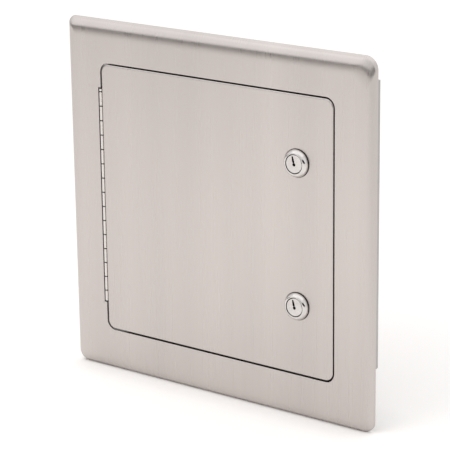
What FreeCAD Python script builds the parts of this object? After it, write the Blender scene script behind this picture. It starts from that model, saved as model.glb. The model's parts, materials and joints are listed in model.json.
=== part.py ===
"""Flush access door with a rolled-edge face flange, a continuous hinge and two keyed cam locks.

Millimetres. +X is to the right seen from the front, +Y runs into the wall, +Z is up. The origin is the
centre of the opening on the wall plane, which is the plane of the face flange's back rim.
"""
import FreeCAD, Part
import math
import os

# Face flange
flange_width = 36.325
flange_corner_radius = 9.5
edge_roll_radius = 6.35
sheet = 1.2
opening_size = 238.5
opening_corner_radius = 8.6
opening_edge_round = 0.4

# Door
reveal = 1.2
door_return_depth = 12.7
door_bend_radius = 1.4
fittings_rise = 1.2

# Continuous hinge
hinge_length = 190.5
knuckle_pitch = 12.7
first_knuckle = 2.8
shortest_knuckle = 2.5
knuckle_gap = 0.4
hinge_pin_diameter = 1.6
leaf_thickness = 0.75
leaf_width = 10.4
hinge_axis_depth = 1.15
knuckle_clearance = 0.2
leaf_edge_clearance = 0.4
pin_running_clearance = 0.05
pin_fixed_clearance = 0.02
hinge_end_clearance = 0.8

# Collar behind the flange, four angles
collar_wall = 1.5
collar_depth = 60.3
collar_leg_to_roll = 10.5
angle_bend_radius = 2.4
screw_hole_diameter = 5.2
screw_hole_spacing = 160.0
screw_hole_from_back = 12.7

# Stops and strike, three angles inside the collar
stop_wall = 1.5
stop_reach = 14.2
stop_weld_leg = 12.0
door_seat_clearance = 0.3

# Locks
lock_inset = 34.8
lock_spacing = 120.65
bezel_diameter = 23.9
bezel_height = 4.4
bezel_edge = 0.8
bezel_lip = 0.4
bezel_swell = 0.25
lock_body_diameter = 19.0
lock_hole_clearance = 0.2
plug_diameter = 15.8
plug_clearance = 0.15
plug_recess = 0.15
plug_head_length = 9.0
plug_tail_diameter = 12.6
plug_square = 8.0
square_clearance = 0.05
keyway_width = 1.4
keyway_length = 8.4
keyway_depth = 5.0
keyway_lean = 13.0
keyhole_diameter = 2.4
nut_across_flats = 25.4
nut_thickness = 4.0
nut_clearance = 0.1
cam_width = 14.0
cam_reach = 33.0
cam_thickness = 2.0
cam_strike_clearance = 0.6
cam_body_clearance = 0.3
screw_shank_diameter = 4.0
screw_shank_length = 7.0
screw_shank_clearance = 0.05
screw_head_diameter = 9.5
screw_head_height = 2.6
screw_drive_width = 1.2
screw_drive_depth = 1.2

# Planes and places that follow from the sizes above
rim_y = 0.0
face_y = rim_y - edge_roll_radius
flange_back_y = face_y + sheet
collar_back_y = face_y + collar_depth
opening_half = opening_size / 2
flange_size = opening_size + 2 * flange_width
door_size = opening_size - 2 * reveal
door_half = door_size / 2
door_corner_radius = opening_corner_radius - reveal
door_back_y = face_y + door_return_depth

pin_radius = hinge_pin_diameter / 2
barrel_radius = pin_radius + pin_running_clearance + leaf_thickness
hinge_offset = barrel_radius + knuckle_clearance
hinge_x = -door_half - hinge_offset
hinge_y = face_y + hinge_axis_depth
hinge_top = fittings_rise + hinge_length / 2
hinge_bottom = fittings_rise - hinge_length / 2

collar_inner = -hinge_x + hinge_offset
collar_outer = collar_inner + collar_wall
collar_leg_end = flange_size / 2 - edge_roll_radius - collar_leg_to_roll
stop_front_y = door_back_y + door_seat_clearance
stop_back_y = stop_front_y + stop_wall
stop_inner = collar_inner - stop_reach

lock_x = door_half - lock_inset
lock_heights = {"upper": fittings_rise + lock_spacing / 2, "lower": fittings_rise - lock_spacing / 2}
bezel_front_y = face_y - bezel_height
cam_front_y = stop_back_y + cam_strike_clearance
cam_back_y = cam_front_y + cam_thickness
lock_body_back_y = cam_front_y - cam_body_clearance
plug_front_y = bezel_front_y + plug_recess
plug_shoulder_y = plug_front_y + plug_head_length

far = 4 * flange_size


def vec(x, y, z):
    return FreeCAD.Vector(x, y, z)


def box(x0, x1, y0, y1, z0, z1):
    return Part.makeBox(x1 - x0, y1 - y0, z1 - z0, vec(x0, y0, z0))


def cylinder_y(radius, y0, y1, x, z):
    return Part.makeCylinder(radius, y1 - y0, vec(x, y0, z), vec(0, 1, 0))


def cylinder_z(radius, z0, z1, x, y):
    return Part.makeCylinder(radius, z1 - z0, vec(x, y, z0), vec(0, 0, 1))


def rounded_square(size, corner_radius, y0, y1):
    """A square block with rounded corners, centred on the Y axis."""
    block = box(-size / 2, size / 2, y0, y1, -size / 2, size / 2)
    corners = [e for e in block.Edges if abs(e.tangentAt(e.FirstParameter).y) > 0.5]
    return block.makeFillet(corner_radius, corners)


def edges_at(shape, y, half_size):
    """The edges of a shape that lie on the plane at y, within half_size of the Y axis."""
    found = []
    for edge in shape.Edges:
        bounds = edge.BoundBox
        reach = max(abs(bounds.XMin), abs(bounds.XMax), abs(bounds.ZMin), abs(bounds.ZMax))
        if abs(bounds.YMin - y) < 1e-4 and abs(bounds.YMax - y) < 1e-4 and reach < half_size + 1e-3:
            found.append(edge)
    return found


def rolled_block(size, corner_radius, roll_radius, y0, y1):
    """A rounded square block whose front edge at y0 is rolled over all round."""
    block = rounded_square(size, corner_radius, y0, y1)
    return block.makeFillet(roll_radius, edges_at(block, y0, size / 2))


def pressed_pan(size, corner_radius, roll_radius, depth):
    """A sheet-metal pan open at the back, its front at the face plane."""
    beyond = face_y + depth + roll_radius + sheet
    outer = rolled_block(size, corner_radius, roll_radius, face_y, beyond)
    inner = rolled_block(
        size - 2 * sheet, corner_radius - sheet, roll_radius - sheet, flange_back_y, beyond + sheet
    )
    behind = box(-far, far, face_y + depth, far, -far, far)
    return outer.cut(inner).cut(behind)


def bent_angle(wall_near, wall_far, leg_end, y_leg, y_end, thickness, length):
    """An angle along X: a wall from z = wall_near to wall_far, and a leg on to z = leg_end.

    The leg starts at y_leg and is one thickness deep; the wall runs on to y_end. The bend is rounded.
    """
    out = 1 if leg_end > wall_near else -1
    inside = angle_bend_radius - thickness
    k = math.sqrt(0.5)
    bend_y = y_leg + angle_bend_radius
    bend_z = wall_near + out * angle_bend_radius

    def point(y, z):
        return vec(0, y, z)

    outer_arc = Part.Arc(
        point(bend_y, wall_near),
        point(bend_y - k * angle_bend_radius, bend_z - out * k * angle_bend_radius),
        point(y_leg, bend_z),
    ).toShape()
    inner_arc = Part.Arc(
        point(y_leg + thickness, bend_z),
        point(bend_y - k * inside, bend_z - out * k * inside),
        point(bend_y, wall_far),
    ).toShape()
    edges = [
        outer_arc,
        Part.makeLine(point(y_leg, bend_z), point(y_leg, leg_end)),
        Part.makeLine(point(y_leg, leg_end), point(y_leg + thickness, leg_end)),
        Part.makeLine(point(y_leg + thickness, leg_end), point(y_leg + thickness, bend_z)),
        inner_arc,
        Part.makeLine(point(bend_y, wall_far), point(y_end, wall_far)),
        Part.makeLine(point(y_end, wall_far), point(y_end, wall_near)),
        Part.makeLine(point(y_end, wall_near), point(bend_y, wall_near)),
    ]
    section = Part.Face(Part.Wire(edges))
    bar = section.extrude(vec(length, 0, 0))
    bar.translate(vec(-length / 2, 0, 0))
    return bar


def turned(shape, degrees):
    """A shape turned about the Y axis, so that what is at the top goes to another side."""
    copy = shape.copy()
    copy.rotate(vec(0, 0, 0), vec(0, 1, 0), degrees)
    return copy


def face_flange():
    shell = pressed_pan(flange_size, flange_corner_radius, edge_roll_radius, edge_roll_radius)
    opening = rounded_square(opening_size, opening_corner_radius, face_y - sheet, far)
    plate = shell.cut(opening)
    plate = plate.makeFillet(opening_edge_round, edges_at(plate, face_y, opening_half))
    notch = box(
        -collar_inner,
        0,
        face_y - sheet,
        rim_y,
        hinge_bottom - hinge_end_clearance,
        hinge_top + hinge_end_clearance,
    )
    return plate.cut(notch)


def collar_angle(length):
    """A collar angle at the top: its wall runs back and its leg lies on the back of the flange."""
    return bent_angle(
        collar_inner,
        collar_outer,
        collar_leg_end,
        flange_back_y,
        collar_back_y,
        collar_wall,
        length,
    )


def collar_side(degrees):
    """A full-height collar angle with the two screw holes that fix the frame to the framing."""
    side = collar_angle(2 * collar_outer)
    hole_y = collar_back_y - screw_hole_from_back
    for place in (-screw_hole_spacing / 2, screw_hole_spacing / 2):
        side = side.cut(cylinder_z(screw_hole_diameter / 2, 0, far, place, hole_y))
    return turned(side, degrees)


def stop_angle(length):
    """A stop angle at the top: its wall lies on the collar and its leg reaches in behind the door."""
    return bent_angle(
        collar_inner,
        collar_inner - stop_wall,
        stop_inner,
        stop_front_y,
        stop_front_y + stop_weld_leg,
        stop_wall,
        length,
    )


def door_panel():
    pan = pressed_pan(door_size, door_corner_radius, door_bend_radius, door_return_depth)
    hole_radius = lock_body_diameter / 2 + lock_hole_clearance
    for height in lock_heights.values():
        pan = pan.cut(cylinder_y(hole_radius, face_y - sheet, flange_back_y + sheet, lock_x, height))
    return pan


def knuckle_spans():
    """The top and bottom of each knuckle, from the top: the hinge is cut from longer stock."""
    joints = [hinge_top]
    level = hinge_top - first_knuckle
    while level > hinge_bottom + shortest_knuckle:
        joints.append(level)
        level -= knuckle_pitch
    joints.append(hinge_bottom)
    return list(zip(joints, joints[1:]))


def hinge_leaf(side, first, bore_clearance):
    """A leaf with every second knuckle. Side is -1 on the frame and 1 on the door."""
    face = hinge_x + side * hinge_offset
    inside = face - side * leaf_thickness
    x0, x1 = min(face, inside), max(face, inside)
    strip_front = hinge_y + barrel_radius + leaf_edge_clearance
    pieces = [box(x0, x1, strip_front, hinge_y + leaf_width, hinge_bottom, hinge_top)]
    for top, bottom in knuckle_spans()[first::2]:
        z0, z1 = bottom + knuckle_gap / 2, top - knuckle_gap / 2
        tube = cylinder_z(barrel_radius, z0, z1, hinge_x, hinge_y)
        neck = box(x0, x1, hinge_y, strip_front, z0, z1)
        bore = cylinder_z(pin_radius + bore_clearance, z0, z1, hinge_x, hinge_y)
        pieces.append(tube.fuse(neck).cut(bore))
    return pieces[0].multiFuse(pieces[1:]).removeSplitter()


def hinge_pin():
    return cylinder_z(pin_radius, hinge_bottom, hinge_top, hinge_x, hinge_y)


def turned_about_lock(points, height):
    """A solid of revolution about a lock's axis, from points given as radius and y."""
    outline = [vec(lock_x + radius, y, height) for radius, y in points]
    section = Part.Face(Part.makePolygon(outline + outline[:1]))
    return section.revolve(vec(lock_x, 0, height), vec(0, 1, 0), 360)


def lock_body(height):
    bore = plug_diameter / 2 + plug_clearance
    tail_bore = plug_tail_diameter / 2 + plug_clearance
    bezel = bezel_diameter / 2
    lip = bore + bezel_lip
    crown_y = face_y - bezel_edge
    middle_r = (bezel + lip) / 2 + bezel_swell * (bezel - lip)
    middle_y = (crown_y + bezel_front_y) / 2 - bezel_swell * (crown_y - bezel_front_y)

    def at(radius, y):
        return vec(lock_x + radius, y, height)

    dome = Part.Arc(at(bezel, crown_y), at(middle_r, middle_y), at(lip, bezel_front_y)).toShape()
    corners = [
        at(lip, bezel_front_y),
        at(bore, bezel_front_y),
        at(bore, plug_shoulder_y + plug_clearance),
        at(tail_bore, plug_shoulder_y + plug_clearance),
        at(tail_bore, lock_body_back_y),
        at(lock_body_diameter / 2, lock_body_back_y),
        at(lock_body_diameter / 2, face_y),
        at(bezel, face_y),
        at(bezel, crown_y),
    ]
    lines = [Part.makeLine(a, b) for a, b in zip(corners, corners[1:])]
    section = Part.Face(Part.Wire([dome] + lines))
    return section.revolve(vec(lock_x, 0, height), vec(0, 1, 0), 360)


def lock_nut(height):
    corner = nut_across_flats / 2 / math.cos(math.pi / 6)
    points = []
    for i in range(7):
        angle = math.radians(60 * i)
        points.append(
            vec(lock_x + corner * math.cos(angle), flange_back_y, height + corner * math.sin(angle))
        )
    prism = Part.Face(Part.makePolygon(points)).extrude(vec(0, nut_thickness, 0))
    hole_radius = lock_body_diameter / 2 + nut_clearance
    hole = cylinder_y(hole_radius, flange_back_y - sheet, flange_back_y + 2 * nut_thickness, lock_x, height)
    return prism.cut(hole)


def square_bar(side, y0, y1, height):
    half = side / 2
    return box(lock_x - half, lock_x + half, y0, y1, height - half, height + half)


def lock_plug(height):
    head = plug_diameter / 2
    tail = plug_tail_diameter / 2
    barrel = turned_about_lock(
        [
            (0, plug_front_y),
            (head, plug_front_y),
            (head, plug_shoulder_y),
            (tail, plug_shoulder_y),
            (tail, cam_front_y),
            (0, cam_front_y),
        ],
        height,
    )
    plug = barrel.fuse(square_bar(plug_square, cam_front_y, cam_back_y, height)).removeSplitter()
    half = keyway_width / 2
    keyway_top = height + keyway_length - keyhole_diameter
    keyway_back_y = plug_front_y + keyway_depth
    keyway = box(lock_x - half, lock_x + half, plug_front_y - sheet, keyway_back_y, height, keyway_top)
    keyhole = cylinder_y(keyhole_diameter / 2, plug_front_y - sheet, keyway_back_y, lock_x, height)
    tapped = cylinder_y(
        screw_shank_diameter / 2 + screw_shank_clearance,
        cam_back_y - screw_shank_length - screw_shank_clearance,
        cam_back_y + sheet,
        lock_x,
        height,
    )
    key_slot = keyway.fuse(keyhole)
    key_slot.rotate(vec(lock_x, 0, height), vec(0, 1, 0), -keyway_lean)
    return plug.cut(key_slot).cut(tapped)


def lock_cam(height):
    """The cam hangs straight down from the plug's square tail, with a rounded end."""
    half = cam_width / 2
    tip = height - cam_reach + half
    hub = cylinder_y(half, cam_front_y, cam_back_y, lock_x, height)
    arm = box(lock_x - half, lock_x + half, cam_front_y, cam_back_y, tip, height)
    end = cylinder_y(half, cam_front_y, cam_back_y, lock_x, tip)
    plate = hub.multiFuse([arm, end]).removeSplitter()
    return plate.cut(
        square_bar(plug_square + 2 * square_clearance, cam_front_y - sheet, cam_back_y + sheet, height)
    )


def lock_screw(height):
    head = cylinder_y(screw_head_diameter / 2, cam_back_y, cam_back_y + screw_head_height, lock_x, height)
    shank = cylinder_y(screw_shank_diameter / 2, cam_back_y - screw_shank_length, cam_back_y, lock_x, height)
    half = screw_drive_width / 2
    slot = box(
        lock_x - screw_head_diameter,
        lock_x + screw_head_diameter,
        cam_back_y + screw_head_height - screw_drive_depth,
        cam_back_y + 2 * screw_head_height,
        height - half,
        height + half,
    )
    return head.fuse(shank).removeSplitter().cut(slot)


def all_parts():
    parts = {
        "face_flange": face_flange(),
        "collar_top": collar_angle(2 * collar_inner),
        "collar_bottom": turned(collar_angle(2 * collar_inner), 180),
        "collar_latch_side": collar_side(90),
        "collar_hinge_side": collar_side(-90),
        "stop_top": stop_angle(2 * stop_inner),
        "stop_bottom": turned(stop_angle(2 * stop_inner), 180),
        "latch_strike": turned(stop_angle(2 * collar_inner), 90),
        "hinge_frame_leaf": hinge_leaf(-1, 0, pin_fixed_clearance),
        "hinge_door_leaf": hinge_leaf(1, 1, pin_running_clearance),
        "hinge_pin": hinge_pin(),
        "door_panel": door_panel(),
    }
    for name, height in lock_heights.items():
        parts[name + "_lock_body"] = lock_body(height)
        parts[name + "_lock_nut"] = lock_nut(height)
        parts[name + "_lock_plug"] = lock_plug(height)
        parts[name + "_lock_cam"] = lock_cam(height)
        parts[name + "_lock_screw"] = lock_screw(height)
    return parts


os.makedirs("parts", exist_ok=True)
for name, shape in all_parts().items():
    shape.exportStep("parts/" + name + ".step")
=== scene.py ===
import json
import math
import bmesh
import bpy
from mathutils import Matrix, Vector


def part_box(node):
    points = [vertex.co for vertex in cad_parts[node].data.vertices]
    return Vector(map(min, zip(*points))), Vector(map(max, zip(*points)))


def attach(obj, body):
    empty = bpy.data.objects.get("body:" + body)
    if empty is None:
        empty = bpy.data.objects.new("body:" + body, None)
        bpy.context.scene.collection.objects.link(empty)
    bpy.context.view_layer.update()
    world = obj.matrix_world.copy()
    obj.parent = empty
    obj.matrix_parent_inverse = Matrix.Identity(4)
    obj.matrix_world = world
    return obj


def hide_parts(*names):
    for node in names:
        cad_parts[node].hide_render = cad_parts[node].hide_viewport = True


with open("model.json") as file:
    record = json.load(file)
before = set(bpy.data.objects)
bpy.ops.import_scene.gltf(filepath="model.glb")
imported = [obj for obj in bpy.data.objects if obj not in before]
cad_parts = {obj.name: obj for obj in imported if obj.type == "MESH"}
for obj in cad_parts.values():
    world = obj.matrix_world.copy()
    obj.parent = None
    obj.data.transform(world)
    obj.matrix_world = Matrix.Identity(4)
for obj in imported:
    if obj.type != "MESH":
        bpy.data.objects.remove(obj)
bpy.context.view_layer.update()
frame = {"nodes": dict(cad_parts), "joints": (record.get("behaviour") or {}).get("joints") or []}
scene = bpy.context.scene
nodes = frame["nodes"]

MM = 0.001
SHEET = 1.2 * MM
LOCKS = ("upper", "lower")

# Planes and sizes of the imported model
flange_low, flange_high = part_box("face_flange")
door_low, door_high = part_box("door_panel")
hinge_low, hinge_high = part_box("hinge_frame_leaf")
collar_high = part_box("collar_latch_side")[1]
stop_low, stop_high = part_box("stop_top")
FLANGE_HALF = flange_high.x
FACE_Y = door_low.y
RIM_Y = flange_high.y
BACK_Y = FACE_Y + SHEET
DOOR_HALF = door_high.x
DOOR_BACK_Y = door_high.y
COLLAR_WALL = 1.5 * MM
COLLAR_OUTER = collar_high.z
COLLAR_INNER = COLLAR_OUTER - COLLAR_WALL
COLLAR_BACK_Y = collar_high.y
LEG_END = collar_high.x
LEG_BACK_Y = BACK_Y + COLLAR_WALL
FLOOR_Z = flange_low.z
# The door's swing is the first joint
HINGE_AXIS = Vector(frame["joints"][0]["pos_m"])

# Meshes: points this close are one, shorter edges go, and edges turned further than this are sharp
MERGE_DISTANCE = 1e-7
SHORTEST_EDGE = 1e-8
SHARP_ANGLE = math.radians(32)
CUT_MARGIN = 1.0 * MM
LATHE_STEPS = 96

# Rounded squares: steps round a corner, and how far past it the next points lie
CORNER_STEPS = 12
SUPPORT = 0.6 * MM

# Places of a piece's materials: on pressed sheet, on a lock body and on a hinge leaf's strip
FRONT, BACK, SIDE = 0, 1, 2
BRIGHT, SHADED = 0, 1
STRIP = 1

# Face flange
# Corner radii, from the top on the latch side round to the bottom on the latch side
FLANGE_CORNERS = (11.0 * MM, 6.0 * MM, 9.5 * MM, 9.0 * MM)
# How fast each radius grows inwards; on the hinge side it shrinks, to a mitre across the roll
CORNER_GROWTHS = (0.4, -0.5, -0.5, 0.0)
SHARPEST_CORNER = 0.6 * MM
# Width of the roll on the latch side, top, hinge side and bottom, as a share of its section below
ROLL_SHARES = (0.48, 0.88, 0.58, 0.45)
# The rolled edge in section, as arcs that tighten outwards: radius, slope in degrees at its end, steps
EDGE_ARCS = ((65.0 * MM, 7.0, 6), (20.0 * MM, 30.0, 10), (3.85 * MM, 90.0, 12))
# How far the opening's latch side, top, hinge side and bottom lie from the middle
OPENING_SIDES = (119.45 * MM, 119.25 * MM, 119.25 * MM, 119.25 * MM)
OPENING_CORNER = 8.6 * MM
OPENING_EDGE_ROUND = 0.35 * MM
OPENING_EDGE_STEPS = 5
NOTCH_END_CLEARANCE = 0.8 * MM
NOTCH_SIDE_CLEARANCE = 0.35 * MM

# Door
DOOR_CORNER = 7.4 * MM
DOOR_SHARPEST_CORNER = 0.5 * MM
DOOR_BEND = 1.2 * MM
DOOR_INSIDE_BEND = 0.5 * MM
BEND_STEPS = 8
DOOR_BOW = 0.12 * MM
# Where the face's rings of points lie on the way from the edge to the middle
DOOR_FACE_SHARES = (0.985, 0.9, 0.8, 0.7, 0.6, 0.5, 0.4, 0.3, 0.2, 0.12, 0.06, 0.03)
# How far back from the face the brushed finish goes, and how deep the shade painted on the returns behind
# it reaches
FINISH_DEPTH = 0.9 * MM
PAINTED_SHADE_DEPTH = 5.5 * MM

# Hinge
KNUCKLE_RADIUS = 1.42 * MM
KNUCKLE_CHAMFER = 0.2 * MM
KNUCKLE_PITCH = 12.7 * MM
KNUCKLE_GAP = 0.9 * MM
KNUCKLE_STEPS = 32
FIRST_KNUCKLE = 2.8 * MM
SHORTEST_KNUCKLE = 2.5 * MM
PIN_BORE_RADIUS = 0.85 * MM
LEAF_THICKNESS = 0.75 * MM
# How far behind the pin's axis the leaf's strip starts, and the tabs that join it to the knuckles
LEAF_FRONT = 2.0 * MM
TAB_FRONT = 0.3 * MM

# Lock bodies
# A ring under the bezel, painted black as the contact shade round it: its height, and how far it shows
# past the bezel
SHADE_RING_HEIGHT = 0.5 * MM
SHADE_RING_SHOW = 0.4 * MM
BEZEL_EDGE = 1.1 * MM
BEZEL_FULLNESS = 1.29
BEZEL_STEPS = 18
BEZEL_LIP_ROUND = 0.28 * MM
LIP_STEPS = 6
# How far round the lip the chrome goes, as the sine of the turn; past it the lip is painted dark as the
# shade going into the bore
LIP_CHROMED = 0.7
BORE_RADIUS = 8.1 * MM
TAIL_BORE_RADIUS = 6.6 * MM
BARREL_RADIUS = 9.5 * MM
BARREL_CHAMFER = 0.6 * MM
LOCK_HOLE_RADIUS = 9.7 * MM
THREAD_PITCH = 1.25 * MM
THREAD_DEPTH = 0.62 * MM
THREAD_ROWS = 8

# Lock plugs
PLUG_GAP = 0.5 * MM
PLUG_CHAMFER = 0.28 * MM
PLUG_HEAD_LENGTH = 8.5 * MM
PLUG_TAIL_RADIUS = 6.2 * MM
PLUG_SQUARE = 8.0 * MM
# The keyway's half width and height above the plug's axis at three places
KEYWAY_TOP = (0.65 * MM, 6.5 * MM)
KEYWAY_FOOT = (1.1 * MM, 1.6 * MM)
KEYWAY_NECK = (0.5 * MM, 1.1 * MM)
KEYWAY_DEPTH = 5.0 * MM
KEYWAY_LEAN = math.radians(14)
KEYHOLE_RADIUS = 1.42 * MM
KEYHOLE_DROP = 0.45 * MM
KEYHOLE_STEPS = 24

# Lock nuts, screws and cams
NUT_ACROSS_FLATS = 25.4 * MM
NUT_CHAMFER_SLOPE = math.tan(math.radians(30))
# Radius of the nut's turned face, as a share of the distance to a flat
NUT_FACE_SHARE = 0.98
NUT_BORE_CHAMFER = 0.5 * MM
SCREW_CHAMFER = 0.2 * MM
# Height of the head's upright edge and radius of its flat middle, as shares of the head's
SCREW_EDGE_SHARE = 0.55
SCREW_MIDDLE_SHARE = 0.25
SCREW_FULLNESS = 0.8
SCREW_STEPS = 10
SCREW_SLOT_WIDTH = 1.2 * MM
SCREW_SLOT_DEPTH = 1.2 * MM
CAM_BEVEL = 0.15 * MM
CAM_BEVEL_STEPS = 2
CAM_BEVEL_ANGLE = math.radians(50)

# Spot welds, with their section as shares of the radius and the height
SPOT_RADIUS = 2.6 * MM
SPOT_HEIGHT = 0.14 * MM
SPOT_SECTION = ((1.0, -0.1), (0.92, 0.55), (0.82, 1.0), (0.7, 0.75), (0.45, 0.4), (0.1, 0.35))
SPOT_STEPS = 20
SPOTS_IN_ROW = 6
SPOTS_ON_LEAF = 7
# How far the rows of spots lie from the middle of the collar's leg and hinge leaf, and the stop's back
LEG_SPOT_SHIFT = 1.0 * MM
LEAF_SPOT_SHIFT = 2.0 * MM
STOP_SPOT_INSET = 4.0 * MM

# Weld beads
BEAD_RADIUS = 1.3 * MM
BEAD_FLATNESS = 0.6
BEAD_SINK = 0.02 * MM
BEAD_LENGTH = 15.0 * MM
BEAD_FROM_LEG = 9.0 * MM
BEAD_FROM_BACK = 6.0 * MM
BEAD_STEPS = 12
# Ripples of this length, narrowing to this share of the radius between them, in so many rows each
BEAD_RIPPLE = 1.5 * MM
BEAD_NARROWEST = 0.88
BEAD_SWELL = 0.12
BEAD_RIPPLE_ROWS = 6
# How blunt the bead's ends are
BEAD_END_POWER = 6
BEAD_END_LEAST = 0.02

# Range of a noise texture that the tones are spread over
TONE_LOW = 0.3
TONE_HIGH = 0.7

# Brushed steel: dark and light colour, roughness and anisotropy
STAINLESS = ((0.524, 0.487, 0.467), (0.579, 0.538, 0.516), 0.3, 0.5)
HINGE_SATIN = ((0.65, 0.613, 0.59), (0.76, 0.722, 0.699), 0.27, 0.3)
# Its hairlines, bands and streaks: cells a metre along x, y and z, and detail
HAIRLINES = ((1500, 60, 16), 3.0)
BANDS = ((190, 190, 5), 2.0)
STREAKS = ((26, 26, 1.6), 1.0)
BAND_SHARE = 0.4
STREAK_SHARE = 0.55
BRUSHED_LOW = 0.32
BRUSHED_HIGH = 0.68
BRUSHED_ROUGH_SWING = 0.05
BRUSHED_QUARTER_TURN = 0.25
BRUSHED_BUMP_STRENGTH = 0.04
BRUSHED_BUMP_DISTANCE = 0.02 * MM

# Mottled metals: colours over the tone, least and greatest roughness, cells a metre, grain
MOTTLED = {
    "sheet_mill": (((0.4, 0.39, 0.378), (0.5, 0.488, 0.474)), (0.36, 0.48), 40, 0.08),
    "frame_mill": (((0.4, 0.393, 0.383), (0.5, 0.491, 0.48)), (0.36, 0.48), 35, 0.08),
    # The hinge leaf's strip: mill steel painted darker as the shade along the hinge
    "hinge_leaf_painted_shade": (((0.2, 0.193, 0.185), (0.29, 0.282, 0.272)), (0.42, 0.55), 60, 0.08),
    # The flange's cut edge: painted near black as the shade in the door's gap
    "cut_edge_painted_shade": (((0.04, 0.038, 0.036), (0.07, 0.067, 0.064)), (0.5, 0.65), 40, 0.08),
    # The hinge pin: painted near black as the shade between the knuckles
    "pin_painted_shade": (((0.06, 0.057, 0.053), (0.11, 0.105, 0.1)), (0.35, 0.5), 200, 0.08),
    "lock_bright_chrome": (((0.615, 0.589, 0.572), (0.685, 0.66, 0.643)), (0.07, 0.12), 60, 0.02),
    "lock_plug_satin": (((0.57, 0.545, 0.53), (0.68, 0.655, 0.638)), (0.2, 0.3), 150, 0.06),
    "lock_zinc": (((0.5, 0.51, 0.5), (0.68, 0.68, 0.65)), (0.25, 0.42), 120, 0.08),
    "weld_heat": (((0.24, 0.22, 0.21), (0.4, 0.37, 0.33), (0.36, 0.36, 0.4)), (0.35, 0.55), 260, 0.2),
}
CLOUD_DETAIL = 4.0
FINE_DETAIL = 2.0
FINE_CELLS_PER_CLOUD = 9
FINE_SHARE = 0.35
MOTTLED_BUMP_DISTANCE = 0.03 * MM

# Returns painted dark along the gap as shade, and the keyway painted black as shade: cells a metre, tones
# by their place and roughness
RETURN_CELLS = 60
RETURN_CLOUD_SHARE = 0.2
RETURN_TONES = ((0.1, (0.045, 0.043, 0.04)), (0.45, (0.2, 0.194, 0.187)), (0.9, (0.46, 0.448, 0.435)))
RETURN_ROUGH = (0.4, 0.52)
KEYWAY_CELLS = 900
KEYWAY_DETAIL = 3.0
KEYWAY_TONES = ((0.3, (0.006, 0.006, 0.006)), (0.75, (0.03, 0.028, 0.026)))
KEYWAY_ROUGH = (0.5, 0.8)
KEYWAY_GLOSS = 0.2

# Floor
WHITE = (1, 1, 1, 1)
FLOOR_COLOUR = (0.95, 0.92, 0.9, 1)
FLOOR_RADIUS = 14.0
FLOOR_STEPS = 64
FLOOR_LIFT = 0.3
# How far the contact shadow painted into the floor's glow reaches, and its samples
CONTACT_REACH = 0.03
CONTACT_SAMPLES = 12

# Dark card round the front, with a tall part
CARD_RADIUS = 5.0
CARD_START = math.radians(-165)
CARD_END = math.radians(-32)
CARD_STEPS = 90
CARD_TOP = 0.75
CARD_PEAK = 1.1
CARD_PEAK_TURN = math.radians(33)
CARD_PEAK_WIDTH = math.radians(14)
CARD_PEAK_POWER = 4
# How far from the peak the card is black, in peak widths
CARD_BLACK_REACH = 1.3
CARD_COLOURS = {"card_dark": (0.16, 0.143, 0.123, 1), "card_black": (0.012, 0.011, 0.01, 1)}

# Soft boxes: place, what it points at, width and length, power, and whether metal mirrors it
LAMPS = {
    "overhead": ((-0.3, 1.1, 2.2), (-0.3, 1.1, FLOOR_Z), (4.0, 7.0), 29.0, True),
    "side": ((-1.75, -2.4, 1.45), (0, 0, 0), (2.2, 2.2), 5.0, True),
    "front": ((-0.18, -0.6, 0.75), (-0.18, -0.6, FLOOR_Z), (0.6, 0.6), 1.9, False),
}
WORLD_LEVEL = 0.62

# Viewpoint
AIM = Vector((0.01088, -0.00635, -0.00241))
AZIMUTH = math.radians(36.85)
ELEVATION = math.radians(16.81)
ROLL = math.radians(-0.748)
DISTANCE = 1.7245
LENS = 166.87
SENSOR_WIDTH = 36.0
NEAREST_SEEN = 0.05
FURTHEST_SEEN = 60.0


# Mesh making


def clean_mesh(mesh):
    """Joins doubled points, turns faces outward and marks the sharp edges."""
    work = bmesh.new()
    work.from_mesh(mesh)
    bmesh.ops.remove_doubles(work, verts=work.verts, dist=MERGE_DISTANCE)
    bmesh.ops.dissolve_degenerate(work, edges=work.edges, dist=SHORTEST_EDGE)
    bmesh.ops.recalc_face_normals(work, faces=work.faces)
    work.to_mesh(mesh)
    work.free()
    mesh.shade_smooth()
    mesh.set_sharp_from_angle(angle=SHARP_ANGLE)


def mesh_object(name, shape, materials):
    """A mesh object from vertices, faces and each face's material, smooth but for its sharp edges."""
    vertices, faces, paints = shape
    mesh = bpy.data.meshes.new(name)
    mesh.from_pydata([tuple(v) for v in vertices], [], faces)
    for material in materials:
        mesh.materials.append(material)
    mesh.polygons.foreach_set("material_index", paints)
    clean_mesh(mesh)
    obj = bpy.data.objects.new(name, mesh)
    scene.collection.objects.link(obj)
    return obj


def piece(name, shape, materials, body, replaced=None, cutters=()):
    """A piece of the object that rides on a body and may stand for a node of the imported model."""
    obj = mesh_object(name, shape, materials)
    for cutter in cutters:
        cut(obj, cutter)
    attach(obj, body)
    if replaced:
        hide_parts(replaced)
    return obj


def cut(obj, cutter):
    """Cuts one mesh out of another; the cut faces take the cutter's material."""
    bpy.context.view_layer.update()
    change = obj.modifiers.new("cut", "BOOLEAN")
    change.object = cutter
    change.operation = "DIFFERENCE"
    change.solver = "EXACT"
    change.material_mode = "TRANSFER"
    graph = bpy.context.evaluated_depsgraph_get()
    result = bpy.data.meshes.new_from_object(obj.evaluated_get(graph))
    obj.modifiers.remove(change)
    obj.data = result
    bpy.data.objects.remove(cutter)
    clean_mesh(result)


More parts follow.
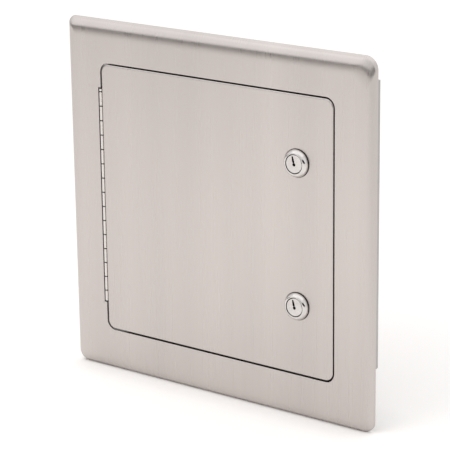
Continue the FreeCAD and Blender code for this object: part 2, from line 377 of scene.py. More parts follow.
def loft(rings, paints=None, hollow=False):
    """Vertices, faces and paints that join closed rings of equally many points.

    A hollow shape joins its last ring to its first, and any other is capped at both ends. Paints holds
    the material of the span that follows each ring; without it all is the first material.
    """
    count = len(rings[0])
    paints = paints or [0] * len(rings)
    vertices = [point for ring in rings for point in ring]
    faces = []
    face_paints = []
    for i in range(len(rings) if hollow else len(rings) - 1):
        low = i * count
        high = ((i + 1) % len(rings)) * count
        for j in range(count):
            k = (j + 1) % count
            faces.append((low + j, low + k, high + k, high + j))
            face_paints.append(paints[i])
    if not hollow:
        faces.append(tuple(range(count)))
        faces.append(tuple(range(len(vertices) - count, len(vertices))))
        face_paints += [paints[0], paints[-1]]
    return vertices, faces, face_paints


def joined(shapes):
    """One shape from several."""
    vertices = []
    faces = []
    paints = []
    for part_vertices, part_faces, part_paints in shapes:
        first = len(vertices)
        vertices.extend(part_vertices)
        faces.extend(tuple(first + i for i in face) for face in part_faces)
        paints.extend(part_paints)
    return vertices, faces, paints


def prism(outline, y0, y1):
    """A closed prism along Y from an outline of x, z points."""
    return loft([[Vector((x, y, z)) for x, z in outline] for y in (y0, y1)])


def block(low, high, paint):
    """A closed box between two corners."""
    outline = [(high.x, high.z), (low.x, high.z), (low.x, low.z), (high.x, low.z)]
    vertices, faces, paints = prism(outline, low.y, high.y)
    return vertices, faces, [paint] * len(paints)


def arc(steps, start=0.0, end=math.pi / 2):
    """Pairs of cosine and sine at even steps of a turn."""
    angles = [start + (end - start) * step / steps for step in range(steps + 1)]
    return [(math.cos(a), math.sin(a)) for a in angles]


def circle(steps):
    """Pairs of cosine and sine at even steps all the way round."""
    angles = [2 * math.pi * step / steps for step in range(steps)]
    return [(math.cos(a), math.sin(a)) for a in angles]


def lathe(x, z, profile):
    """Rings of points about an axis along Y through x, z, from pairs of radius and depth."""
    turns = circle(LATHE_STEPS)
    return [[Vector((x + radius * c, y, z + radius * s)) for c, s in turns] for radius, y in profile]


def upright_lathe(x, y, profile):
    """Rings of points about an upright axis through x, y, from pairs of radius and height."""
    turns = circle(KNUCKLE_STEPS)
    return [[Vector((x + radius * c, y + radius * s, z)) for c, s in turns] for radius, z in profile]


def square_loop(sides, radii, y, notch=None):
    """A ring of points round a rounded square at depth y, with room for a notch in its hinge side.

    The sides are how far the latch side, top, hinge side and bottom lie from the middle. The notch is
    its x, top and bottom. Where it doesn't reach past the side, its points lie on the side.
    """
    latch, top, hinge, bottom = sides
    corners = ((latch, top), (-hinge, top), (-hinge, -bottom), (latch, -bottom))
    ring = []
    for quarter, (x, z) in enumerate(corners):
        radius = radii[quarter]
        centre_x = x - math.copysign(radius, x)
        centre_z = z - math.copysign(radius, z)
        start = quarter * math.pi / 2
        corner = []
        for c, s in arc(CORNER_STEPS, start, start + math.pi / 2):
            corner.append(Vector((centre_x + radius * c, y, centre_z + radius * s)))
        before = Vector((math.sin(start), 0, -math.cos(start)))
        after = Vector((-math.cos(start), 0, -math.sin(start)))
        ring.append(corner[0] + SUPPORT * before)
        ring.extend(corner)
        ring.append(corner[-1] + SUPPORT * after)
        # The hinge side follows its top corner
        if quarter == 1 and notch:
            notch_x, notch_top, notch_bottom = notch
            deep = min(-hinge, notch_x)
            ring.append(Vector((-hinge, y, notch_top)))
            ring.append(Vector((deep, y, notch_top)))
            ring.append(Vector((deep, y, notch_bottom)))
            ring.append(Vector((-hinge, y, notch_bottom)))
    return ring


# Sheet metal


def edge_profile(thickness):
    """The rolled edge in section, from the flat outwards: distance in from the edge, shift in and depth.

    Thickness moves it square to the sheet, so that the same arcs give the hollow back.
    """
    points = [(0.0, 0.0, 0.0)]
    reach = drop = slope = 0.0
    for radius, end_degrees, steps in EDGE_ARCS:
        end = math.radians(end_degrees)
        for step in range(1, steps + 1):
            a = slope + (end - slope) * step / steps
            along = reach + radius * (math.sin(a) - math.sin(slope))
            down = drop + radius * (math.cos(slope) - math.cos(a))
            points.append((along, down, a))
        reach, drop, slope = points[-1]
    scale = (RIM_Y - FACE_Y) / drop
    section = []
    for along, down, a in points:
        depth = FACE_Y + scale * down + thickness * math.cos(a)
        section.append((reach - along, thickness * math.sin(a), min(depth, RIM_Y)))
    return section


def flange_shape():
    """The pressed face flange: sheared opening, flat, a roll that tightens outwards, a hollow back."""
    top = hinge_high.z + NOTCH_END_CLEARANCE
    bottom = hinge_low.z - NOTCH_END_CLEARANCE
    rings = []
    paints = []

    def edge_ring(inset, shift, y, paint=FRONT):
        sides = [FLANGE_HALF - share * inset - shift for share in ROLL_SHARES]
        radii = []
        for radius, growth in zip(FLANGE_CORNERS, CORNER_GROWTHS):
            radii.append(max(radius + growth * (inset + shift), SHARPEST_CORNER))
        rings.append(square_loop(sides, radii, y, (0, top, bottom)))
        paints.append(paint)

    def opening_ring(outset, y, paint=FRONT):
        sides = [side + outset for side in OPENING_SIDES]
        radii = [OPENING_CORNER + outset] * 4
        notch = (hinge_low.x - NOTCH_SIDE_CLEARANCE - outset, top + outset, bottom - outset)
        rings.append(square_loop(sides, radii, y, notch))
        paints.append(paint)

    front = edge_profile(0.0)
    back = edge_profile(SHEET)
    for inset, shift, y in reversed(front):
        edge_ring(inset, shift, y)
    edge_ring(front[0][0], SUPPORT, FACE_Y)
    opening_ring(OPENING_EDGE_ROUND + SUPPORT, FACE_Y)
    for c, s in arc(OPENING_EDGE_STEPS):
        opening_ring(OPENING_EDGE_ROUND * (1 - s), FACE_Y + OPENING_EDGE_ROUND * (1 - c))
    # The cut edge is painted near black as the shade in the door's gap
    paints[-1] = SIDE
    opening_ring(0.0, BACK_Y, BACK)
    opening_ring(SUPPORT, BACK_Y, BACK)
    edge_ring(back[0][0], SUPPORT, BACK_Y, BACK)
    for inset, shift, y in back:
        edge_ring(inset, shift, y, BACK)
    return loft(rings, paints, hollow=True)


def door_shape():
    """The pressed door pan: a slightly bowed face, a tight bend, a return all round, a hollow back."""
    insets = [DOOR_HALF * share for share in DOOR_FACE_SHARES]
    rings = []
    paints = []

    def ring(inset, y, paint=FRONT, bowed=False):
        half = DOOR_HALF - inset
        radius = min(max(DOOR_CORNER - inset, DOOR_SHARPEST_CORNER), half / 2)
        bow = DOOR_BOW * (1 - (half / DOOR_HALF) ** 2) ** 2 if bowed else 0.0
        rings.append(square_loop([half] * 4, [radius] * 4, y - bow))
        paints.append(paint)

    for inset in insets:
        ring(inset, FACE_Y, bowed=True)
    ring(DOOR_BEND + SUPPORT, FACE_Y)
    # Past the brushed finish, the bend and the return take the shade painted along the gap
    for c, s in arc(BEND_STEPS):
        depth = DOOR_BEND * (1 - c)
        ring(DOOR_BEND * (1 - s), FACE_Y + depth, SIDE if depth > FINISH_DEPTH else FRONT)
    ring(0.0, DOOR_BACK_Y - SUPPORT, SIDE)
    ring(0.0, DOOR_BACK_Y, BACK)
    ring(SHEET, DOOR_BACK_Y, BACK)
    ring(SHEET, DOOR_BACK_Y - SUPPORT, BACK)
    for c, s in arc(BEND_STEPS):
        ring(SHEET + DOOR_INSIDE_BEND * (1 - c), BACK_Y + DOOR_INSIDE_BEND * (1 - s), BACK)
    for inset in reversed(insets):
        ring(inset, BACK_Y, BACK, bowed=True)
    return loft(rings, paints)


def lock_hole_cutter(name, material):
    """What is cut out of the door for a lock."""
    x, z = lock_centre(name)
    profile = [(LOCK_HOLE_RADIUS, FACE_Y - SHEET), (LOCK_HOLE_RADIUS, BACK_Y + SHEET)]
    return mesh_object("round_cutter", loft(lathe(x, z, profile)), [material])


def make_sheet_metal(steel, mill_and_shade, edge, returns):
    """The flange and the door, each with its materials in the order front, back and side."""
    # The flange's side is its cut edge, painted near black as shade
    skins = [steel, mill_and_shade, edge]
    piece("face_flange_skin", flange_shape(), skins, "frame", "face_flange")
    holes = [lock_hole_cutter(name, mill_and_shade) for name in LOCKS]
    # The door's side is its returns, painted dark along the gap as shade
    skins = [steel, mill_and_shade, returns]
    piece("door_panel_skin", door_shape(), skins, "door", "door_panel", holes)


# Hinge


def knuckle_spans():
    """The top and bottom of each knuckle, from the top."""
    joints = [hinge_high.z]
    level = hinge_high.z - FIRST_KNUCKLE
    while level > hinge_low.z + SHORTEST_KNUCKLE:
        joints.append(level)
        level -= KNUCKLE_PITCH
    joints.append(hinge_low.z)
    return list(zip(joints, joints[1:]))


def leaf_shape(side, first):
    """A hinge leaf: a strip along the frame or the door, and every second knuckle, with chamfered ends."""
    low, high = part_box("hinge_frame_leaf" if side < 0 else "hinge_door_leaf")
    x0 = low.x if side < 0 else high.x - LEAF_THICKNESS
    x1 = x0 + LEAF_THICKNESS
    strip_y = HINGE_AXIS.y + LEAF_FRONT
    tab_y = HINGE_AXIS.y + TAB_FRONT
    shapes = [block(Vector((x0, strip_y, hinge_low.z)), Vector((x1, high.y, hinge_high.z)), STRIP)]
    end_radius = KNUCKLE_RADIUS - KNUCKLE_CHAMFER
    for top, bottom in knuckle_spans()[first::2]:
        z0 = bottom + KNUCKLE_GAP / 2
        z1 = top - KNUCKLE_GAP / 2
        full_z0 = z0 + KNUCKLE_CHAMFER
        full_z1 = z1 - KNUCKLE_CHAMFER
        profile = [
            (PIN_BORE_RADIUS, z0),
            (end_radius, z0),
            (KNUCKLE_RADIUS, full_z0),
            (KNUCKLE_RADIUS, full_z1),
            (end_radius, z1),
            (PIN_BORE_RADIUS, z1),
        ]
        shapes.append(loft(upright_lathe(HINGE_AXIS.x, HINGE_AXIS.y, profile), hollow=True))
        shapes.append(block(Vector((x0, tab_y, full_z0)), Vector((x1, strip_y, full_z1)), STRIP))
    return joined(shapes)


def make_hinge(satin, mill_and_shade):
    """Both leaves, each with its materials in the order knuckle and strip; the strip is mill steel painted
    darker as the shade along the hinge.
    """
    leaf = [satin, mill_and_shade]
    piece("hinge_frame_leaf_skin", leaf_shape(-1, 0), leaf, "frame", "hinge_frame_leaf")
    piece("hinge_door_leaf_skin", leaf_shape(1, 1), leaf, "door", "hinge_door_leaf")


# Locks


def lock_centre(name):
    """The x and z of a lock's axis."""
    low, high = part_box(name + "_lock_nut")
    return (low.x + high.x) / 2, (low.z + high.z) / 2


def bezel_profile(bezel_radius, front_y):
    """The domed lock face in section over a ring painted black as its contact shade, from the door over
    the dome and into the bore, which is painted dark as shade.

    Each point is a radius, a depth and the material of what follows it.
    """
    base = FACE_Y - SHADE_RING_HEIGHT
    shoulder = FACE_Y - BEZEL_EDGE
    lip = BORE_RADIUS + 2 * BEZEL_LIP_ROUND
    edge = bezel_radius - SHADE_RING_SHOW
    points = [
        # The ring under the bezel, painted black as contact shade
        (bezel_radius, FACE_Y, SHADED),
        (bezel_radius, base, SHADED),
        (edge, base, BRIGHT),
    ]
    for c, s in arc(BEZEL_STEPS):
        across = (edge - lip) * c**BEZEL_FULLNESS
        rise = (shoulder - front_y) * s**BEZEL_FULLNESS
        points.append((lip + across, shoulder - rise, BRIGHT))
    for c, s in arc(LIP_STEPS):
        radius = BORE_RADIUS + BEZEL_LIP_ROUND * (1 - s)
        depth = front_y + BEZEL_LIP_ROUND * (1 - c)
        points.append((radius, depth, BRIGHT if s < LIP_CHROMED else SHADED))
    return points


def thread_rings(x, z, y0, y1):
    """Rings of a barrel with a helical thread that runs out at both ends."""
    rows = round((y1 - y0) / THREAD_PITCH * THREAD_ROWS)
    rings = []
    for row in range(rows + 1):
        y = y0 + (y1 - y0) * row / rows
        run_out = min(1.0, min(row, rows - row) / THREAD_ROWS)
        ring = []
        for i in range(LATHE_STEPS):
            share = i / LATHE_STEPS
            phase = (y / THREAD_PITCH - share) % 1.0
            radius = BARREL_RADIUS - THREAD_DEPTH * (1 - abs(2 * phase - 1)) * run_out
            turn = 2 * math.pi * share
            ring.append(Vector((x + radius * math.cos(turn), y, z + radius * math.sin(turn))))
        rings.append(ring)
    return rings


def make_lock_body(name, chrome, dark):
    """The domed bezel on a ring painted black as its contact shade, with its bore painted dark as shade,
    and the threaded barrel behind the door.
    """
    low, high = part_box(name + "_lock_body")
    x, z = lock_centre(name)
    shoulder_y = low.y + PLUG_HEAD_LENGTH + PLUG_GAP
    profile = bezel_profile((high.x - low.x) / 2, low.y) + [
        (BORE_RADIUS, shoulder_y, SHADED),
        (TAIL_BORE_RADIUS, shoulder_y, SHADED),
        (TAIL_BORE_RADIUS, high.y, BRIGHT),
        (BARREL_RADIUS - BARREL_CHAMFER, high.y, BRIGHT),
    ]
    rings = lathe(x, z, [(radius, y) for radius, y, paint in profile])
    paints = [paint for radius, y, paint in profile]
    threads = thread_rings(x, z, BACK_Y, high.y - BARREL_CHAMFER)
    rings += reversed(threads)
    rings += lathe(x, z, [(BARREL_RADIUS, FACE_Y)])
    paints += [BRIGHT] * (len(threads) + 1)
    shape = loft(rings, paints, hollow=True)
    piece(name + "_lock_body_skin", shape, [chrome, dark], "door", name + "_lock_body")


def keyway_cutter(x, z, front_y, material):
    """A keyway that widens downwards to a round hole, and leans towards the hinge at the top."""
    sides = (KEYWAY_TOP, KEYWAY_FOOT, KEYWAY_NECK)
    enter = math.asin(KEYWAY_NECK[0] / KEYHOLE_RADIUS)
    outline = [(-half, v) for half, v in sides]
    for c, s in arc(KEYHOLE_STEPS, math.pi / 2 + enter, 2.5 * math.pi - enter):
        outline.append((KEYHOLE_RADIUS * c, KEYHOLE_RADIUS * s - KEYHOLE_DROP))
    outline += [(half, v) for half, v in reversed(sides)]
    lean_c = math.cos(KEYWAY_LEAN)
    lean_s = math.sin(KEYWAY_LEAN)
    turned = [(x + u * lean_c - v * lean_s, z + u * lean_s + v * lean_c) for u, v in outline]
    shape = prism(turned, front_y - CUT_MARGIN, front_y + KEYWAY_DEPTH)
    return mesh_object("keyway_cutter", shape, [material])


def make_lock_plug(name, satin, dark):
    """The turning plug: a chamfered face with a keyway, and the square tail that holds the cam."""
    front_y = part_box(name + "_lock_plug")[0].y
    cam_low, cam_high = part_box(name + "_lock_cam")
    x, z = lock_centre(name)
    radius = BORE_RADIUS - PLUG_GAP
    profile = [
        (radius - PLUG_CHAMFER, front_y),
        (radius, front_y + PLUG_CHAMFER),
        (radius, front_y + PLUG_HEAD_LENGTH),
        (PLUG_TAIL_RADIUS, front_y + PLUG_HEAD_LENGTH),
        (PLUG_TAIL_RADIUS, cam_low.y),
    ]
    half = PLUG_SQUARE / 2
    corners = [(x + u * half, z + v * half) for u, v in ((1, 1), (-1, 1), (-1, -1), (1, -1))]
    shape = joined([loft(lathe(x, z, profile)), prism(corners, cam_low.y, cam_high.y)])
    # The keyway's walls take the black painted as the shade inside it
    key = keyway_cutter(x, z, front_y, dark)
    lock = name + "_lock"
    piece(lock + "_plug_skin", shape, [satin], lock, lock + "_plug", [key])


def make_lock_nut(name, plated):
    """A hexagon nut with turned corners, on the barrel behind the door."""
    low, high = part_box(name + "_lock_nut")
    x, z = lock_centre(name)
    flat = NUT_ACROSS_FLATS / 2
    face = NUT_FACE_SHARE * flat
    beyond = 2 * flat

    def ring(limit, y, slope=0.0):
        points = []
        for i in range(LATHE_STEPS):
            turn = 2 * math.pi * i / LATHE_STEPS
            off_flat = (turn % (math.pi / 3)) - math.pi / 6
            hexagon = flat / math.cos(off_flat)
            radius = min(hexagon, limit)
            depth = y - slope * max(0.0, hexagon - face)
            points.append(Vector((x + radius * math.cos(turn), depth, z + radius * math.sin(turn))))
        return points

    rings = [
        ring(BARREL_RADIUS, low.y),
        ring(beyond, low.y),
        ring(beyond, high.y, NUT_CHAMFER_SLOPE),
        ring(face, high.y),
        ring(BARREL_RADIUS + NUT_BORE_CHAMFER, high.y),
        ring(BARREL_RADIUS, high.y - NUT_BORE_CHAMFER),
    ]
    shape = loft(rings, hollow=True)
    piece(name + "_lock_nut_skin", shape, [plated], "door", name + "_lock_nut")


def make_lock_screw(name, plated, dark):
    """The slotted pan-head screw that holds the cam on the plug."""
    low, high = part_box(name + "_lock_screw")
    base_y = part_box(name + "_lock_cam")[1].y
    x, z = lock_centre(name)
    head = (high.x - low.x) / 2
    height = high.y - base_y
    edge = SCREW_EDGE_SHARE * height
    middle = SCREW_MIDDLE_SHARE * head
    profile = [(head - SCREW_CHAMFER, base_y), (head, base_y + SCREW_CHAMFER)]
    for c, s in arc(SCREW_STEPS):
        radius = middle + (head - middle) * c**SCREW_FULLNESS
        profile.append((radius, base_y + edge + (height - edge) * s))
    reach = 2 * head
    half = SCREW_SLOT_WIDTH / 2
    outline = [(x + u * reach, z + v * half) for u, v in ((1, 1), (-1, 1), (-1, -1), (1, -1))]
    slot_shape = prism(outline, high.y - SCREW_SLOT_DEPTH, high.y + CUT_MARGIN)
    # The slot's walls take the black painted as the shade inside it
    slot = mesh_object("slot_cutter", slot_shape, [dark])
    lock = name + "_lock"
    shape = loft(lathe(x, z, profile))
    piece(lock + "_screw_skin", shape, [plated], lock, lock + "_screw", [slot])


def make_locks(chrome, satin, plated, dark):
    for name in LOCKS:
        make_lock_body(name, chrome, dark)
        make_lock_plug(name, satin, dark)
        make_lock_nut(name, plated)
        make_lock_screw(name, plated, dark)


# Welds


def spot_weld(centre, normal):
    """A shallow round weld mark on a sheet: a raised rim round a flat middle."""
    turn = Vector((0, 0, 1)).rotation_difference(normal).to_matrix()
    rings = []
    for share, height in SPOT_SECTION:
        radius = share * SPOT_RADIUS
        ring = []
        for c, s in circle(SPOT_STEPS):
            ring.append(centre + turn @ Vector((radius * c, radius * s, height * SPOT_HEIGHT)))
        rings.append(ring)
    return loft(rings)


def evenly(low, high, count):
    """Places spread evenly between two limits, half a pitch in from each."""
    return [low + (high - low) * (i + 0.5) / count for i in range(count)]


def flange_spots():
    """Spot welds that hold the collar's legs on the back of the flange."""
    spots = []
    out = Vector((0, 1, 0))
    row = (COLLAR_OUTER + LEG_END) / 2 + LEG_SPOT_SHIFT
    for place in evenly(-COLLAR_INNER, COLLAR_INNER, SPOTS_IN_ROW):
        for side in (-1, 1):
            spots.append(spot_weld(Vector((side * row, LEG_BACK_Y, place)), out))
            spots.append(spot_weld(Vector((place, LEG_BACK_Y, side * row)), out))
    return spots


def wall_spots():
    """Spot welds through the collar's walls into the hinge leaf, the strike and the stops."""
    spots = []
    leaf_y = (hinge_low.y + hinge_high.y) / 2 + LEAF_SPOT_SHIFT
    stop_y = stop_high.y - STOP_SPOT_INSET
    for place in evenly(hinge_low.z, hinge_high.z, SPOTS_ON_LEAF):
        spots.append(spot_weld(Vector((-COLLAR_OUTER, leaf_y, place)), Vector((-1, 0, 0))))
    for place in evenly(-COLLAR_INNER, COLLAR_INNER, SPOTS_IN_ROW):
        spots.append(spot_weld(Vector((COLLAR_OUTER, stop_y, place)), Vector((1, 0, 0))))
    for place in evenly(stop_low.x, stop_high.x, SPOTS_IN_ROW):
        for side in (1, -1):
            spots.append(spot_weld(Vector((place, stop_y, side * COLLAR_OUTER)), Vector((0, 0, side))))
    return spots


def weld_bead(x, z, side, y0):
    """A short rippled bead along Y on the seam at x, on the collar's top or bottom at z."""
    ripples = round(BEAD_LENGTH / BEAD_RIPPLE)
    rows = ripples * BEAD_RIPPLE_ROWS
    rings = []
    for row in range(rows + 1):
        share = row / rows
        taper = math.sqrt(max(BEAD_END_LEAST, 1 - (2 * share - 1) ** BEAD_END_POWER))
        ripple = BEAD_NARROWEST + BEAD_SWELL * abs(math.sin(math.pi * share * ripples))
        radius = BEAD_RADIUS * taper * ripple
        y = y0 + BEAD_LENGTH * share
        ring = []
        for c, s in arc(BEAD_STEPS, 0.0, math.pi):
            rise = BEAD_FLATNESS * radius * s - BEAD_SINK
            ring.append(Vector((x + radius * c, y, z + side * rise)))
        rings.append(ring)
    return loft(rings)


def corner_beads():
    """Two beads on each of the collar's four corners."""
    beads = []
    for x in (-COLLAR_INNER, COLLAR_INNER):
        for side in (-1, 1):
            for y in (LEG_BACK_Y + BEAD_FROM_LEG, COLLAR_BACK_Y - BEAD_LENGTH - BEAD_FROM_BACK):
                beads.append(weld_bead(x, side * COLLAR_OUTER, side, y))
    return beads


def make_welds(weld):
    piece("flange_spot_welds", joined(flange_spots()), [weld], "frame")
    piece("collar_spot_welds", joined(wall_spots()), [weld], "frame")
    piece("collar_corner_welds", joined(corner_beads()), [weld], "frame")


# Materials


def material_tree(name):
    """A new material with its nodes and its shader."""
    material = bpy.data.materials.new(name)
    material.use_nodes = True
    tree = material.node_tree
    return material, tree, tree.nodes["Principled BSDF"]


def noise(tree, scales, detail):
    """Noise over the object, with its own scale along each axis, in cells a metre."""
    place = tree.nodes.new("ShaderNodeTexCoord")
    stretch = tree.nodes.new("ShaderNodeMapping")
    stretch.inputs["Scale"].default_value = scales
    texture = tree.nodes.new("ShaderNodeTexNoise")
    texture.inputs["Scale"].default_value = 1.0
    texture.inputs["Detail"].default_value = detail
    tree.links.new(place.outputs["Object"], stretch.inputs["Vector"])
    tree.links.new(stretch.outputs["Vector"], texture.inputs["Vector"])
    return texture.outputs["Fac"]


def ramp(tree, value, stops):
    """A colour ramp over a value, from pairs of position and colour."""
    node = tree.nodes.new("ShaderNodeValToRGB")
    elements = node.color_ramp.elements
    while len(elements) < len(stops):
        elements.new(0.5)
    for element, (position, colour) in zip(elements, stops):
        element.position = position
        element.color = (*colour, 1.0)
    tree.links.new(value, node.inputs["Fac"])
    return node.outputs["Color"]


def mixed(tree, first, second, share):
    """A weighted mean of two values."""
    node = tree.nodes.new("ShaderNodeMix")
    node.data_type = "FLOAT"
    node.inputs["Factor"].default_value = share
    tree.links.new(first, node.inputs["A"])
    tree.links.new(second, node.inputs["B"])
    return node.outputs["Result"]


def spread(tree, value, low, high, start=TONE_LOW, end=TONE_HIGH):
    """A value carried from one range to another."""
    node = tree.nodes.new("ShaderNodeMapRange")
    node.inputs["From Min"].default_value = start
    node.inputs["From Max"].default_value = end
    node.inputs["To Min"].default_value = low
    node.inputs["To Max"].default_value = high
    tree.links.new(value, node.inputs["Value"])
    return node.outputs["Result"]


def bump(tree, shader, height, strength, distance):
    """A fine relief on a surface."""
    node = tree.nodes.new("ShaderNodeBump")
    node.inputs["Strength"].default_value = strength
    node.inputs["Distance"].default_value = distance
    tree.links.new(height, node.inputs["Height"])
    tree.links.new(node.outputs["Normal"], shader.inputs["Normal"])


def brushed_steel(name, dark, light, rough, anisotropy):
    """Sheet brushed up and down: hairlines, soft streaks along them and a sheen spread across them."""
    material, tree, shader = material_tree(name)
    hairlines = noise(tree, *HAIRLINES)
    bands = noise(tree, *BANDS)
    streaks = noise(tree, *STREAKS)
    grain = mixed(tree, hairlines, bands, BAND_SHARE)
    tone = mixed(tree, grain, streaks, STREAK_SHARE)
    colour = ramp(tree, tone, ((BRUSHED_LOW, dark), (BRUSHED_HIGH, light)))
    tree.links.new(colour, shader.inputs["Base Color"])
    roughness = spread(tree, grain, rough - BRUSHED_ROUGH_SWING, rough + BRUSHED_ROUGH_SWING)
    tree.links.new(roughness, shader.inputs["Roughness"])
    shader.inputs["Metallic"].default_value = 1.0
    shader.inputs["Anisotropic"].default_value = anisotropy
    shader.inputs["Anisotropic Rotation"].default_value = BRUSHED_QUARTER_TURN
    along = tree.nodes.new("ShaderNodeCombineXYZ")
    along.inputs["Z"].default_value = 1.0
    tree.links.new(along.outputs["Vector"], shader.inputs["Tangent"])
    bump(tree, shader, hairlines, BRUSHED_BUMP_STRENGTH, BRUSHED_BUMP_DISTANCE)
    return material


def mottled_metal(name, colours, rough, cells, grain):
    """Metal with a cloudy tone: plated, milled, chromed, or painted dark as shade, by its colours,
    roughness and grain.
    """
    material, tree, shader = material_tree(name)
    fine_cells = cells * FINE_CELLS_PER_CLOUD
    clouds = noise(tree, (cells, cells, cells), CLOUD_DETAIL)
    fine = noise(tree, (fine_cells, fine_cells, fine_cells), FINE_DETAIL)
    tone = mixed(tree, clouds, fine, FINE_SHARE)
    pitch = (TONE_HIGH - TONE_LOW) / (len(colours) - 1)
    stops = [(TONE_LOW + pitch * i, colour) for i, colour in enumerate(colours)]
    tree.links.new(ramp(tree, tone, stops), shader.inputs["Base Color"])
    tree.links.new(spread(tree, fine, *rough), shader.inputs["Roughness"])
    shader.inputs["Metallic"].default_value = 1.0
    bump(tree, shader, fine, grain, MOTTLED_BUMP_DISTANCE)
    return material


def return_steel():
    """The door's returns on the outside: painted dark along the gap as shade, and bare steel further in.
    """
    material, tree, shader = material_tree("return_painted_shade")
    place = tree.nodes.new("ShaderNodeTexCoord")
    axes = tree.nodes.new("ShaderNodeSeparateXYZ")
    tree.links.new(place.outputs["Object"], axes.inputs["Vector"])
    depth = spread(tree, axes.outputs["Y"], 0.0, 1.0, FACE_Y + FINISH_DEPTH, FACE_Y + PAINTED_SHADE_DEPTH)
    clouds = noise(tree, (RETURN_CELLS, RETURN_CELLS, RETURN_CELLS), CLOUD_DETAIL)
    tone = mixed(tree, depth, clouds, RETURN_CLOUD_SHARE)
    tree.links.new(ramp(tree, tone, RETURN_TONES), shader.inputs["Base Color"])
    tree.links.new(spread(tree, clouds, *RETURN_ROUGH), shader.inputs["Roughness"])
    shader.inputs["Metallic"].default_value = 1.0
    return material


def painted_shade_black():
    """Near-black metal painted as the shade inside the keyway, the screw slot and the bore, and on the
    ring under the bezel.
    """
    material, tree, shader = material_tree("painted_shade_black")
    specks = noise(tree, (KEYWAY_CELLS, KEYWAY_CELLS, KEYWAY_CELLS), KEYWAY_DETAIL)
    tree.links.new(ramp(tree, specks, KEYWAY_TONES), shader.inputs["Base Color"])
    tree.links.new(spread(tree, specks, *KEYWAY_ROUGH), shader.inputs["Roughness"])
    shader.inputs["Specular IOR Level"].default_value = KEYWAY_GLOSS
    return material


def dress_nodes(materials):
    """Gives every node that still shows its finish, and takes the knife edge off the cams."""
    for node in nodes.values():
        slot = node.material_slots[0]
        key = slot.material.name.split(".")[0]
        if key in materials:
            slot.material = materials[key]
    for name in LOCKS:
        bevel = nodes[name + "_lock_cam"].modifiers.new("edge", "BEVEL")
        bevel.width = CAM_BEVEL
        bevel.segments = CAM_BEVEL_STEPS
        bevel.limit_method = "ANGLE"
        bevel.angle_limit = CAM_BEVEL_ANGLE


# Stage


def matt_tree(name, colour):
    """A new material with no gloss, with its nodes and its shader."""
    material, tree, shader = material_tree(name)
    shader.inputs["Base Color"].default_value = colour
    shader.inputs["Roughness"].default_value = 1.0
    shader.inputs["Specular IOR Level"].default_value = 0.0
    return material, tree, shader


def seen_directly(tree, seen, otherwise=0.0):
    """One value for rays that show a surface, straight or in a mirror or glass, another for the rest."""
    path = tree.nodes.new("ShaderNodeLightPath")
    total = path.outputs["Is Camera Ray"]
    for ray in ("Is Glossy Ray", "Is Transmission Ray"):
        add = tree.nodes.new("ShaderNodeMath")
        add.operation = "ADD"
        add.use_clamp = True
        tree.links.new(total, add.inputs[0])
        tree.links.new(path.outputs[ray], add.inputs[1])
        total = add.outputs["Value"]
    return spread(tree, total, otherwise, seen, 0.0, 1.0)


def make_floor():
    """A plain white floor that shows as white where nothing shades it, with a contact shadow painted into
    its glow next to the object.
    """
    ring = [Vector((FLOOR_RADIUS * c, FLOOR_RADIUS * s, FLOOR_Z)) for c, s in circle(FLOOR_STEPS)]
    material, tree, shader = matt_tree("floor_white", FLOOR_COLOUR)
    shader.inputs["Emission Color"].default_value = WHITE
    # The glow fades where the object hems the floor in: a painted contact shadow
    contact = tree.nodes.new("ShaderNodeAmbientOcclusion")
    contact.samples = CONTACT_SAMPLES
    contact.inputs["Distance"].default_value = CONTACT_REACH
    lift = tree.nodes.new("ShaderNodeMath")
    lift.operation = "MULTIPLY"
    tree.links.new(contact.outputs["AO"], lift.inputs[0])
    tree.links.new(seen_directly(tree, FLOOR_LIFT), lift.inputs[1])
    tree.links.new(lift.outputs["Value"], shader.inputs["Emission Strength"])
    floor = mesh_object("floor", (ring, [tuple(range(len(ring)))], [0]), [material])


def make_horizon_card():
    """A dark card round the front, out of the picture, which shows in the metal.

    Its low part draws the line along the rolled edge, and its tall black part the tick on each bezel.
    """
    turns = arc(CARD_STEPS, CARD_START, CARD_END)
    offs = [(math.atan2(c, -s) - CARD_PEAK_TURN) / CARD_PEAK_WIDTH for c, s in turns]
    vertices = [Vector((CARD_RADIUS * c, CARD_RADIUS * s, FLOOR_Z)) for c, s in turns]
    for (c, s), off in zip(turns, offs):
        top = CARD_TOP + CARD_PEAK * math.exp(-(off**CARD_PEAK_POWER))
        vertices.append(Vector((CARD_RADIUS * c, CARD_RADIUS * s, top)))
    count = len(turns)
    faces = [(i, i + 1, count + i + 1, count + i) for i in range(CARD_STEPS)]
    paints = [1 if abs(off) < CARD_BLACK_REACH else 0 for off in offs[:-1]]
    cards = [matt_tree(name, colour)[0] for name, colour in CARD_COLOURS.items()]
    card = mesh_object("horizon_card", (vertices, faces, paints), cards)
    card.visible_camera = False
    card.visible_diffuse = False
    card.visible_shadow = False


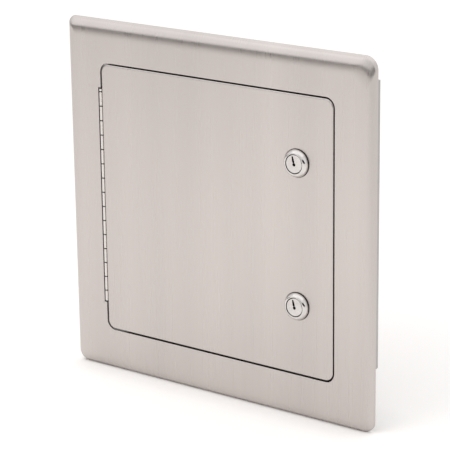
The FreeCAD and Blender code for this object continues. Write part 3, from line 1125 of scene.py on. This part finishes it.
def make_lamp(name, place, aim, size, power, mirrored):
    """A soft box; one that isn't mirrored lights the floor but shows in no metal."""
    data = bpy.data.lights.new(name, "AREA")
    data.shape = "RECTANGLE"
    data.size, data.size_y = size
    data.energy = power
    lamp = bpy.data.objects.new(name, data)
    lamp.visible_glossy = mirrored
    scene.collection.objects.link(lamp)
    turn = (Vector(aim) - Vector(place)).to_track_quat("-Z", "Y").to_matrix().to_4x4()
    lamp.matrix_world = Matrix.Translation(place) @ turn


def make_world():
    """Even light from all round, white where it is seen."""
    world = bpy.data.worlds.new("studio")
    scene.world = world
    world.use_nodes = True
    tree = world.node_tree
    sky = tree.nodes["Background"]
    sky.inputs["Color"].default_value = WHITE
    tree.links.new(seen_directly(tree, 1.0, WORLD_LEVEL), sky.inputs["Strength"])


def make_camera():
    """The photograph's own viewpoint."""
    data = bpy.data.cameras.new("photo_camera")
    data.sensor_width = SENSOR_WIDTH
    data.lens = LENS
    data.clip_start = NEAREST_SEEN
    data.clip_end = FURTHEST_SEEN
    camera = bpy.data.objects.new("photo_camera", data)
    scene.collection.objects.link(camera)
    flat = math.cos(ELEVATION)
    back = Vector((math.sin(AZIMUTH) * flat, -math.cos(AZIMUTH) * flat, math.sin(ELEVATION)))
    turn = (-back).to_track_quat("-Z", "Y").to_matrix().to_4x4() @ Matrix.Rotation(ROLL, 4, "Z")
    camera.matrix_world = Matrix.Translation(AIM + back * DISTANCE) @ turn
    scene.camera = camera


stainless = brushed_steel("brushed_stainless_fine", *STAINLESS)
hinge_satin = brushed_steel("hinge_satin", *HINGE_SATIN)
metals = {name: mottled_metal(name, *finish) for name, finish in MOTTLED.items()}
plated = metals["lock_zinc"]
dark = painted_shade_black()

make_sheet_metal(stainless, metals["sheet_mill"], metals["cut_edge_painted_shade"], return_steel())
make_hinge(hinge_satin, metals["hinge_leaf_painted_shade"])
make_locks(metals["lock_bright_chrome"], metals["lock_plug_satin"], plated, dark)
make_welds(metals["weld_heat"])
dress_nodes(
    {
        "frame_steel": metals["frame_mill"],
        # The pin, painted near black as the shade between the knuckles
        "hinge_steel": metals["pin_painted_shade"],
        "lock_plated": plated,
    }
)

make_floor()
make_horizon_card()
for name, settings in LAMPS.items():
    make_lamp(name, *settings)
make_world()
make_camera()
scene.view_settings.view_transform = "Standard"
